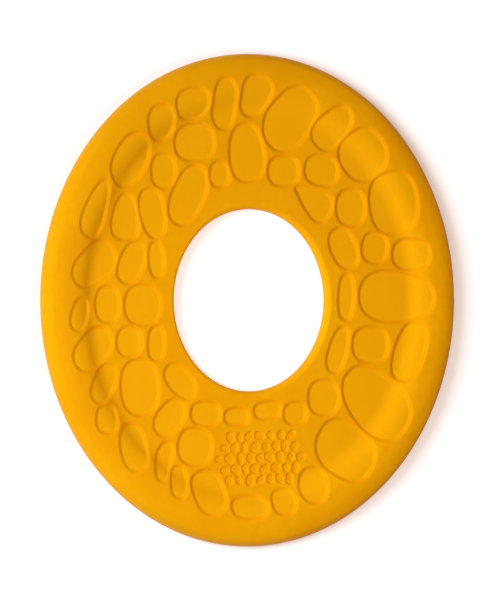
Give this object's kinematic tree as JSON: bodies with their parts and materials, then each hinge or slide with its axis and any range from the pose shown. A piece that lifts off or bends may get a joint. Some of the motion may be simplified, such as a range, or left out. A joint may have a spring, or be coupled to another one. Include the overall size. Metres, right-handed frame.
{
  "type": "flying ring",
  "caption": "Soft round throwing ring with a thick rolled rim, flat web, round centre hole and shallow pebble relief, for juggling and catching.",
  "frame": {"origin": "on the ring's axis, in the plane that the back face's crest rests on", "axes": "+Z along the ring's axis, out of the front face; X and Y lie in the ring's plane"},
  "size_m": [0.203, 0.203, 0.0108],
  "materials": {
    "skin": "smooth satin-matt self-skinned elastomer, mustard orange",
    "core": "matt fine-celled foam, paler orange"
  },
  "bodies": {
    "root": {"front_skin": "skin", "back_skin": "skin", "foam_core": "core"}
  },
  "joints": []
}
